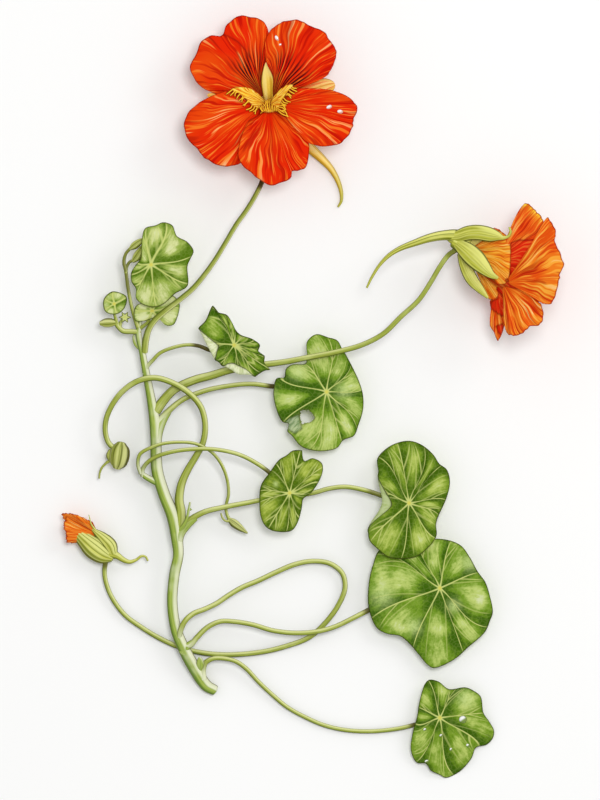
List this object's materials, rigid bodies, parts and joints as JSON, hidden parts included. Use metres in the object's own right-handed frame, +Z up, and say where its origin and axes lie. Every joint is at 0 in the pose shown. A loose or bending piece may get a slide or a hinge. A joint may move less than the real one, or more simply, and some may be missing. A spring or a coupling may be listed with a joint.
{
  "type": "nasturtium plant",
  "caption": "Cut flowering shoot of a climbing nasturtium laid on a surface, with an open flower, a side flower, buds, a seed pod and round leaves on long curling stalks.",
  "frame": {"origin": "middle of the shoot's overall width and length, on the surface that the shoot lies on", "axes": "+Y from the cut end of the stem towards the open flower, +X towards the side flower and the large leaves, +Z up from the surface, towards the viewer who looks down on it"},
  "size_m": [0.1653, 0.2518, 0.0345],
  "materials": {
    "stem": "smooth, satin, pale green with a whitish bloom",
    "stalk": "smooth, satin, light green",
    "leaf": "soft, matt, mid green with pale veins",
    "young_leaf": "soft, matt, light green with pale veins",
    "open_petal": "soft, satin, orange red with yellow streaks",
    "side_petal": "soft, satin, orange with yellow and red streaks",
    "sepal": "soft, satin, yellow green",
    "green_sepal": "soft, satin, light yellow green with ribs",
    "stamen": "matt, yellow",
    "bud": "smooth, satin, olive green with ribs"
  },
  "bodies": {
    "root": {"main_stem": "stem", "leaf_a": "young_leaf", "leaf_b": "young_leaf", "leaf_c": "young_leaf", "leaf_d": "leaf", "leaf_e": "leaf", "leaf_f": "leaf", "leaf_g": "leaf", "leaf_h": "leaf", "leaf_i": "leaf", "rosette_leaf": "young_leaf", "top_shoot": "stalk", "side_shoot": "stalk", "petiole_a": "stalk", "petiole_b": "stalk", "petiole_c": "stalk", "petiole_d": "stalk", "petiole_e": "stalk", "petiole_f": "stalk", "petiole_g": "stalk", "petiole_h": "stalk", "petiole_i": "stalk", "open_flower_stalk": "stalk", "side_flower_stalk": "stalk", "seed_pod_stalk": "stalk", "bud_stalk": "stalk", "hanging_stalk": "stalk", "top_bud_upper": "bud", "top_bud_lower": "bud", "side_bud": "bud", "hanging_bud": "bud", "seed_pod": "bud", "opening_bud_calyx": "green_sepal", "opening_bud_petals": "side_petal", "open_flower_calyx": "sepal", "open_petal_upper_left": "open_petal", "open_petal_upper_right": "open_petal", "open_petal_lower_right": "open_petal", "open_petal_lower_middle": "open_petal", "open_petal_lower_left": "open_petal", "open_flower_stamens": "stamen", "side_flower_calyx": "green_sepal", "side_petal_near": "side_petal", "side_petal_near_lower": "side_petal", "side_petal_upper_near": "side_petal", "side_petal_lower": "side_petal", "side_petal_far": "side_petal", "side_flower_stamens": "stamen"}
  },
  "joints": []
}
